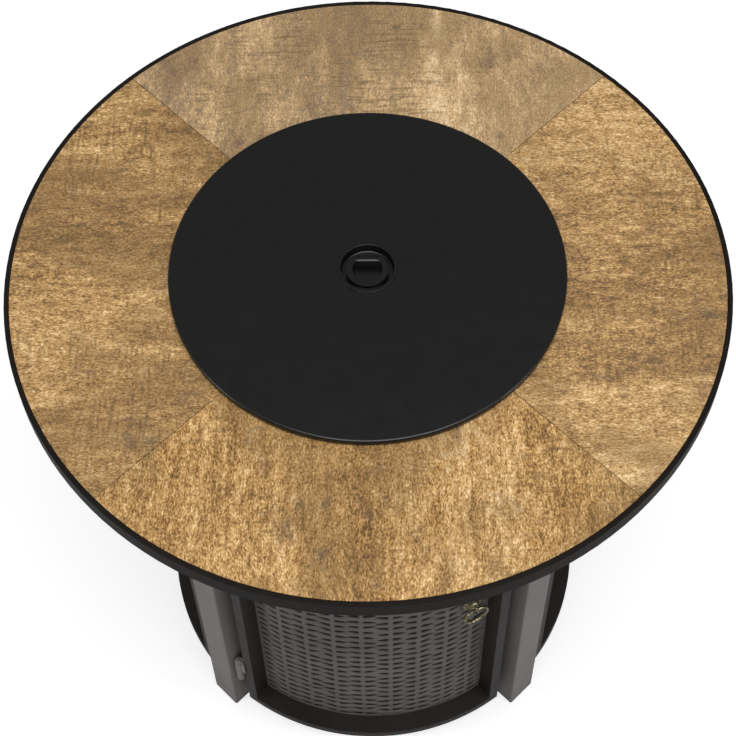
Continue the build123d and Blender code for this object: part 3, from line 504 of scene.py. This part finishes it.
def spin_profile(outline, steps):
    """Spin a closed outline of (radius, height) pairs round the Z axis."""
    angles = np.linspace(0, 2 * pi, steps, endpoint=False)
    radius, height = outline[:, :1], outline[:, 1:]
    points = metre_points(radius * np.sin(angles), -radius * np.cos(angles), height)
    return points, grid_faces(len(outline), steps, close_rows=True, close_columns=True)


print("faces of a ring of 4 by 6 points:", len(grid_faces(4, 6, True, True)))

# %% [markdown]
# ## Woven-look panels
#
# The door and the three fixed panels are steel sheets pressed to look like wicker. Upright stakes
# stand about 16 mm apart, a strong one and a weak one in turn. Strands run across them, one above
# the other. Beside a strong stake each two strands part, so a dark lens shows between them, and
# towards the weak stake they close up again. Modelling every strand as its own tube would take
# millions of faces. The real panel is a pressed sheet, so a height for each point of a grid gives
# the same shape with one closed skin. The depth of each dip is also kept on the points as an
# attribute, which paints the dips near-black: painted shade, for the shadow under each strand.

# %% Weave height
# the distance from stake to stake and from strand to strand, and the place of a strong stake
stake_pitch, strand_pitch, first_stake = 15.9, 14.45, -10.5
# the radius of the front and of the back of a sheet, and the depth of the pressing
weave_front, weave_back, press_depth = 229.0, 226.0, 2.0
# half a sheet's width in degrees, and the heights of its lower and its upper edge
panel_half, weave_low, weave_high = 34.29, 42.7, 619.3
# the width of the plain border of a sheet, its height in the pressing, and millimetres per degree
border_width, border_height, degree_length = 5.0, 0.7, 4.0


def weave_height(across, up):
    """The height of the pressed sheet, 0 in a dip and 1 on a stake, and the share of dip. Strong
    stakes and weak ones take turns. On both sides of a strong stake the dips lie one above the
    other at the strand pitch, level with each other, and the next strong stake has them about a
    third of a pitch higher or lower. A dip starts blunt beside the strong stake and thins out
    towards the weak one: its half height is a share of the pitch, times a short rise, times one
    minus a power of the way along it. Chance, taken from the row and the side, makes some dips
    longer and lets some run up or down."""
    # reach is 0 on a strong stake and 1 on a weak one; side numbers the strips between them
    pair = (across - first_stake) / (2 * stake_pitch)
    stake = np.round(pair)
    reach = np.abs(2 * (pair - stake))
    side = 2 * stake + np.where(pair < stake, -1.0, 1.0)

    def chance(seed, row=0.0):
        """A number from 0 to 1 that looks random, but is the same each time for a side and row."""
        return np.mod(np.sin(side * 12.9898 + row * 78.233 + seed) * 43758.5453, 1.0)

    # one phase is one dip and one strand; the rows wave a little, as hand-woven ones do
    wave = 0.05 * np.sin(up / 41.0 + stake * 1.7) + 0.03 * np.sin(up / 17.0 - stake)
    phase = up / strand_pitch + 0.34 * np.mod(stake, 2) + 0.12 * np.sin(stake * 2.3) + wave
    row = np.floor(phase)
    # a dip begins at near and ends at far, and its middle runs up or down on the way
    near, far = 0.12 + 0.05 * chance(2.6, row), 0.84 + 0.26 * chance(4.1, row)
    along = np.clip((reach - near) / (far - near), 0, 1)
    run = 0.26 * np.where(chance(7.7, row) > 0.45, 1.0, -0.5) * (chance(1.9) - 0.25) * along
    rise, thinning = np.clip(along / 0.10, 0, 1) ** 0.5, (1 - along ** 2.2) ** 0.8
    half_height = (0.25 + 0.06 * chance(9.3, row)) * rise * thinning
    from_middle = np.abs(phase - row - 0.5 - run) / np.maximum(half_height, 1e-4)
    dip = np.clip((1 - from_middle) * 3.0, 0, 1)
    dip = np.where(half_height > 0.012, dip * dip * (3 - 2 * dip), 0)
    # strands are round between the dips, and both kinds of stake stand a little higher
    crown = 0.26 * np.cos(2 * pi * (phase - row - run)) * np.clip(reach / 0.2, 0, 1)
    ridge = 0.22 * np.exp(-(reach / 0.13) ** 2) + 0.12 * np.exp(-((1 - reach) / 0.2) ** 2)
    return np.clip(0.62 + crown + ridge, 0, 1) * (1 - dip), dip


# %% Weave panels
def sheet_grid(rows, columns):
    """The azimuths across a sheet, in radians, and the heights up it, in millimetres."""
    return (np.radians(np.linspace(-panel_half, panel_half, columns))[None, :],
            np.linspace(weave_low, weave_high, rows)[:, None])


def make_weave(name, azimuth, body, node, rows=560, columns=160, back_rows=100, back_columns=30):
    """A curved pressed sheet: its radius is the front radius less what the height leaves of the
    press depth. The back skin is smooth and coarse, behind the deepest dip, and a rim of faces
    joins the two."""
    side, up = sheet_grid(rows, columns)
    height, dip = weave_height(side * weave_front, up)
    edge = np.minimum(np.minimum(up - weave_low, weave_high - up),
                      (panel_half - np.abs(np.degrees(side))) * degree_length)
    inside = np.clip(edge / border_width, 0, 1)
    dip, height = dip * inside, height * inside + border_height * (1 - inside)
    radius = weave_front - press_depth * (1 - height)
    front = metre_points(radius * np.sin(side), -radius * np.cos(side), up)
    side, up = sheet_grid(back_rows, back_columns)
    back = metre_points(weave_back * np.sin(side), -weave_back * np.cos(side), up)
    points = np.vstack([turn_about_z(skin, azimuth).reshape(-1, 3) for skin in (front, back)])
    start = rows * columns
    faces = grid_faces(rows, columns).tolist()
    faces += (grid_faces(back_rows, back_columns)[:, ::-1] + start).tolist()
    outer = np.arange(start).reshape(rows, columns)
    inner = start + np.arange(back_rows * back_columns).reshape(back_rows, back_columns)
    for fine, coarse in ((outer[0], inner[0]), (outer[-1], inner[-1]),
                         (outer[:, 0], inner[:, 0]), (outer[:, -1], inner[:, -1])):
        # each point of the fine border goes with the nearest one of the coarse border
        partner = coarse[np.round(np.linspace(0, len(coarse) - 1, len(fine))).astype(int)]
        for a, b, c, d in zip(fine[:-1], fine[1:], partner[1:], partner[:-1]):
            faces.append([int(a), int(b), int(c)] if c == d else [int(a), int(b), int(c), int(d)])
    # the dip share, carried as an attribute, paints shade into the dips
    gap = np.concatenate([dip.ravel(), np.zeros(inner.size)])
    return make_piece(name, points, np.array(faces, dtype=object), wicker_paint, body, node,
                      sharp=75, merge=0, attribute=("gap", gap))


for name, azimuth, body, node in (("door_wicker", 0, "door", "door_weave"),
                                  ("right_wicker", 90, "column", "panel_weave_right"),
                                  ("back_wicker", 180, "column", "panel_weave_back"),
                                  ("left_wicker", 270, "column", "panel_weave_left")):
    piece = make_weave(name, azimuth, body, node)
    print(name, "faces", len(piece.data.polygons))

# %% [markdown]
# ## Folded and sawn metal
#
# Posts, frames, rails, plates and screws are already exact in the CAD model, but their edges are
# perfectly sharp. Real sheet metal and tube always have a small radius that catches a line of
# light. We could model each rounding by hand; a Bevel modifier does the same on every edge that is
# sharper than a set angle. It needs a clean mesh, so the copy is merged first, and flat neighbours
# are joined into one face.

# %% Softened copies
# points this close are one point, in metres; faces this close in direction are one face, in
# degrees; and edges that turn by more than the last angle are rounded
same_point, same_face, rounded_edge = 3e-6, 0.2, 32.0


def softened(name, material, width):
    """A copy of a CAD node with its edges rounded; width in millimetres. It rides on the body that
    the node itself hangs from."""
    source = nodes[name]
    mesh = source.data.copy()
    mesh.name = name + "_soft"
    mesh.materials.clear()
    work = bmesh.new()
    work.from_mesh(mesh)
    bmesh.ops.remove_doubles(work, verts=work.verts, dist=same_point)
    bmesh.ops.dissolve_limit(work, angle_limit=radians(same_face), verts=work.verts,
                             edges=work.edges)
    bmesh.ops.recalc_face_normals(work, faces=work.faces)
    work.to_mesh(mesh)
    work.free()
    body = source.parent.name.split(":")[1]
    piece = place_piece(name + "_soft", mesh, material, body, name, rounded_edge)
    bevel = piece.modifiers.new("rounded edges", "BEVEL")
    bevel.width, bevel.segments = width / 1000.0, 2
    bevel.limit_method, bevel.angle_limit = "ANGLE", radians(rounded_edge)
    bevel.harden_normals = True
    return piece


soft_work = [
    (rim_paint, 0.35, ["tabletop_tray"]),
    (post_paint, 0.4, ["post_front_right", "post_back_right", "post_back_left", "post_front_left"]),
    (frame_paint, 0.6, ["door_frame", "panel_frame_right", "panel_frame_back", "panel_frame_left"]),
    (frame_paint, 0.3, ["panel_clips"]),
    (post_paint, 0.3, ["hinge_post_barrels", "hinge_door_barrels"]),
    (base_paint, 0.5, ["bottom_rail_front", "bottom_rail_right", "bottom_rail_back",
                       "bottom_rail_left", "base_shelf", "bottle_collar", "control_plate",
                       "top_brackets"]),
    (lid_paint, 0.3, ["lid_pull_clip"]),
    (lid_paint, 0.9, ["lid_pull_ring"]),
    (steel, 0.3, ["burner_pan", "pan_collar", "burner_hub", "hub_nut", "air_mixer",
                  "electrode_bracket"]),
    (zinc, 0.25, ["igniter_nut", "rosette_nut", "hinge_pins", "collar_screw"]),
    (valve_brass, 0.5, ["gas_valve", "valve_inlet", "valve_stem"]),
    (plastic, 0.6, ["igniter_body", "igniter_button", "post_feet", "screw_pad"]),
    (magnet, 0.5, ["door_magnet"]),
]
soft_work += [(material, 0.3, ["tile_" + side]) for side, material in tile_wood.items()]
soft_pieces = [softened(name, material, width) for material, width, names in soft_work
               for name in names]
print("softened copies:", len(soft_pieces))

# %% [markdown]
# ## The lid
#
# The lid is a spun steel disc: flat on top, with a soft shoulder and a short skirt that stands just
# off the tiles. A lathe profile is enough for it. The profile is written as corners with a radius
# each, and each corner becomes a short curve of points, so the shoulder is round and catches a
# line of light. The cup in its middle is a second, thinner pressing with a flange that lies on the
# lid.

# %% Lid and cup
lid_profile = rounded_outline(
    [(27.1, 664.0), (195.0, 664.0), (195.0, 657.8), (193.5, 657.8), (193.5, 662.5), (27.1, 662.5)],
    [0.3, 2.6, 0.5, 0.5, 1.1, 0.3], steps=8)
points, faces = spin_profile(lid_profile, steps=360)
lid_disc = make_piece("lid_disc", points, faces, lid_paint, "lid_body", "lid")
cup_profile = rounded_outline(
    [(0.0, 654.6), (26.2, 654.6), (26.2, 664.8), (30.0, 664.8), (30.0, 664.0), (27.0, 664.0),
     (27.0, 653.8), (0.0, 653.8)],
    [0, 2.2, 0.7, 0.4, 0.2, 0.5, 2.8, 0], steps=7)
points, faces = spin_profile(cup_profile, steps=144)
cup_dish = make_piece("cup_dish", points, faces, lid_paint, "lid_body", "lid_cup")
print("lid faces", len(lid_disc.data.polygons), "cup faces", len(cup_dish.data.polygons))

# %% [markdown]
# ## The burner ring
#
# Under the lid lies the burner: a ring of tube with two rows of flame ports. A port is a small
# drilled hole. Cut as real holes they would cost many faces and leave ragged edges, so each port is
# a round pit in the same grid that makes the tube, and the attribute that marks its depth also
# paints it dark: painted shade, for the dark inside of a drilled hole.

# %% Burner ring
ring_radius, tube_radius, ring_height = 82.0, 9.0, 589.0
port_count, port_radius, port_depth = 36, 1.6, 1.6
ring_steps, tube_steps = 720, 96
ring_angles = np.linspace(0, 2 * pi, ring_steps, endpoint=False)[:, None]
tube_angles = np.linspace(0, 2 * pi, tube_steps, endpoint=False)[None, :]
pit = np.zeros((ring_steps, tube_steps))
# two rows of ports on the upper side of the tube, the second one half a port further on
for port_angle, offset in ((radians(62), 0.0), (radians(118), 0.5)):
    share = ring_angles / (2 * pi) * port_count + offset
    around = (share - np.round(share)) * 2 * pi * ring_radius / port_count
    beside = (tube_angles - port_angle) * tube_radius
    pit = np.maximum(pit, np.clip(port_radius - np.hypot(around, beside), 0, 1))
tube = tube_radius - port_depth * pit
reach = ring_radius + tube * np.cos(tube_angles)
ring_points = metre_points(reach * np.sin(ring_angles), -reach * np.cos(ring_angles),
                           ring_height + tube * np.sin(tube_angles))
print("port pits: deepest", round(float(pit.max() * port_depth), 2), "mm")

# %% [markdown]
# The four cross tubes of the burner run from the boss in its middle to the ring. Each is swept
# along a short straight path: a circle of points at each step, and a last circle of radius zero
# that closes the end. All the shells go into one mesh, because on the real burner they are welded
# into one part.

# %% Sweep and burner piece
def sweep(path, radius, around=40):
    """Circles of points along a straight, level path, and a circle of radius zero at each end."""
    run = (path[-1] - path[0]) / np.linalg.norm(path[-1] - path[0])
    side = np.cross(run, [0.0, 0.0, 1.0])
    up = np.cross(side, run)
    turns = np.linspace(0, 2 * pi, around, endpoint=False)[:, None]
    circle = side * np.cos(turns) + up * np.sin(turns)
    centres = np.vstack([path[:1], path, path[-1:]])
    radii = np.array([0.0, *[radius] * len(path), 0.0])
    points = centres[:, None, :] + circle * radii[:, None, None]
    return points, grid_faces(len(centres), around, close_columns=True)


def join_shells(shells):
    """Put several (points, faces) shells into one list of each, with the faces counted on."""
    points, faces, start = [], [], 0
    for shell_points, shell_faces in shells:
        points.append(shell_points.reshape(-1, 3))
        faces.append(shell_faces + start)
        start += len(points[-1])
    return np.vstack(points), np.vstack(faces)


shells = [(ring_points, grid_faces(ring_steps, tube_steps, close_rows=True, close_columns=True))]
spoke, spoke_radius = metre_points(0.0, [-13.0, -40.0, -75.0], ring_height), 0.0065
for azimuth in (45, 135, 225, 315):
    shells.append(sweep(turn_about_z(spoke, azimuth), spoke_radius))
boss = rounded_outline([(0, 598.0), (15.0, 598.0), (15.0, 580.0), (0, 580.0)],
                       [0, 1.5, 1.5, 0], steps=5)
shells.append(spin_profile(boss, steps=72))
points, faces = join_shells(shells)
pit_layer = np.zeros(len(points))
pit_layer[:pit.size] = pit.ravel()
# the pit depth also paints each port dark: painted shade for the inside of the hole
burner = make_piece("burner_tube", points, faces, burner_steel, "column", "burner_ring",
                    merge=1e-7, attribute=("gap", pit_layer))
print("burner faces", len(burner.data.polygons))

# %% [markdown]
# ## The brass pull
#
# The door's pull is a small antique piece: a rosette with a scalloped edge and a rolled rim, a
# round boss with an eye in it, and a hanging ring that is a little thicker at its foot. The rosette
# is again a spun profile, but its radius rises and falls with the angle, twelve times round, which
# gives the scallops.

# %% Rosette, eye and ring
pull_azimuth, pull_height, eye_distance = 28.6, 318.0, 239.5
eye_radius, eye_wire, hanging_radius, hanging_wire = 3.25, 1.0, 14.0, 1.8
scallop_count, foot_growth = 12, 0.35
rosette_profile = rounded_outline(
    [(0.0, 7.6), (4.2, 7.4), (5.8, 5.6), (6.0, 3.4), (7.6, 2.2), (9.0, 2.2), (9.6, 3.7),
     (11.3, 3.7), (12.3, 1.4), (12.3, 0.1), (0.0, 0.1)],
    [0, 1.2, 0.9, 0.8, 0.6, 0.5, 0.6, 0.7, 0.5, 0.3, 0], steps=5)
points, faces = spin_profile(rosette_profile, steps=240)
x, y, z = points[..., 0], points[..., 1], points[..., 2]
out, turn_angle = np.hypot(x, y), np.arctan2(x, -y)
# the scallops grow from 8.5 mm outwards, and fine petals ripple the dish at 8.3 mm
scallop = 1 + 0.030 * np.cos(scallop_count * turn_angle) * np.clip((out - 0.0085) / 0.003, 0, 1)
petals = 0.0004 * np.cos(2 * scallop_count * turn_angle) * np.exp(-((out - 0.0083) / 0.0012) ** 2)
rosette_points = np.stack([x * scallop, -(weave_front / 1000.0 + z + petals),
                           pull_height / 1000.0 - y * scallop], axis=-1)
round_steps, wire_steps = 72, 24
round_turns = np.linspace(0, 2 * pi, round_steps, endpoint=False)[:, None]
wire_turns = np.linspace(0, 2 * pi, wire_steps, endpoint=False)[None, :]


def upright_ring(height, radius, wire, across):
    """A closed ring of wire at the distance of the eye, with its middle at a height. Across "x" it
    lies in the plane of Y and Z, across "y" in the plane of X and Z."""
    reach, beside = radius + wire * np.cos(wire_turns), wire * np.sin(wire_turns)
    along, up = reach * np.sin(round_turns), height + reach * np.cos(round_turns)
    if across == "x":
        shape = metre_points(beside, along - eye_distance, up)
    else:
        shape = metre_points(along, beside - eye_distance, up)
    return shape, grid_faces(round_steps, wire_steps, close_rows=True, close_columns=True)


eye_shell = upright_ring(pull_height, eye_radius, eye_wire, "x")
points, faces = join_shells([(rosette_points, faces), eye_shell])
rosette = make_piece("rosette", turn_about_z(points, pull_azimuth), faces, antique_brass, "door",
                     "door_rosette", sharp=50)
foot_wire = hanging_wire + foot_growth * (1 - np.cos(round_turns)) / 2
points, faces = upright_ring(pull_height - hanging_radius, hanging_radius, foot_wire, "y")
hanging_ring = make_piece("hanging_ring", turn_about_z(points, pull_azimuth), faces, antique_brass,
                          "door_pull", "door_pull_ring")
print("rosette faces", len(rosette.data.polygons), "ring faces", len(hanging_ring.data.polygons))

# %% [markdown]
# ## Floor and light
#
# A product picture like this is taken on a white sweep under large soft lamps. The floor is one big
# plane. It is an ordinary pale surface, on which the table throws a soft shadow, and for the camera
# alone it also glows a little, so that it shows white. A wide lamp hangs overhead and a little in
# front. A small lamp on each side draws the thin bright line on the lid's shoulder. The sky lights
# the scene with a low even grey, but the camera sees it white too.

# %% Floor
floor_size, floor_shade, floor_glow = 8.0, 0.55, 0.62
floor_mesh = bpy.data.meshes.new("floor")
corner = floor_size / 2
floor_mesh.from_pydata([(-corner, -corner, 0), (corner, -corner, 0), (corner, corner, 0),
                        (-corner, corner, 0)], [], [(0, 1, 2, 3)])
floor = bpy.data.objects.new("floor", floor_mesh)
bpy.context.scene.collection.objects.link(floor)
floor_material = bpy.data.materials.new("floor_white")
floor_material.use_nodes = True
floor_tree = floor_material.node_tree
floor_tree.nodes.clear()
floor_output = floor_tree.nodes.new("ShaderNodeOutputMaterial")
floor_diffuse = add_node(floor_tree, "ShaderNodeBsdfDiffuse",
                         Color=(floor_shade, floor_shade, floor_shade, 1.0))
light_path = add_node(floor_tree, "ShaderNodeLightPath")
seen = calc(floor_tree, "MULTIPLY", light_path.outputs["Is Camera Ray"], floor_glow)
glow = add_node(floor_tree, "ShaderNodeEmission", Color=(1, 1, 1, 1), Strength=seen)
both = floor_tree.nodes.new("ShaderNodeAddShader")
floor_tree.links.new(floor_diffuse.outputs[0], both.inputs[0])
floor_tree.links.new(glow.outputs[0], both.inputs[1])
floor_tree.links.new(both.outputs[0], floor_output.inputs[0])
floor_mesh.materials.append(floor_material)
print("floor side:", floor_size, "m")

# %% Lamps and sky
def soft_lamp(name, place, aim, size, power):
    """A square area lamp at a place, facing a point; its side is in metres, its power in watts."""
    data = bpy.data.lights.new(name, "AREA")
    data.shape, data.size, data.energy = "SQUARE", size, power
    lamp = bpy.data.objects.new(name, data)
    bpy.context.scene.collection.objects.link(lamp)
    facing = (Vector(aim) - Vector(place)).to_track_quat("-Z", "Y").to_matrix().to_4x4()
    lamp.matrix_world = Matrix.Translation(place) @ facing


soft_lamp("lamp_over", (0.2, -0.9, 3.2), (0, 0, 0.5), 2.2, 66)
soft_lamp("lamp_left", (-2.9, -1.0, 1.7), (0, 0, 0.3), 0.45, 22)
soft_lamp("lamp_right", (2.9, -1.1, 1.7), (0, 0, 0.3), 0.45, 20)
sky_strength = 0.34
world = bpy.data.worlds.new("studio")
bpy.context.scene.world = world
world.use_nodes = True
sky = world.node_tree
sky.nodes.clear()
sky_output = sky.nodes.new("ShaderNodeOutputWorld")
sky_path = add_node(sky, "ShaderNodeLightPath")
sky_light = add_node(sky, "ShaderNodeBackground", Color=(1, 1, 1, 1), Strength=sky_strength)
sky_seen = add_node(sky, "ShaderNodeBackground", Color=(1, 1, 1, 1), Strength=1.0)
sky_mix = add_node(sky, "ShaderNodeMixShader", i0=sky_path.outputs["Is Camera Ray"],
                   i1=sky_light.outputs[0], i2=sky_seen.outputs[0])
sky.links.new(sky_mix.outputs[0], sky_output.inputs[0])
bpy.context.scene.view_settings.view_transform = "Standard"
print("lamps:", len(bpy.data.lights))
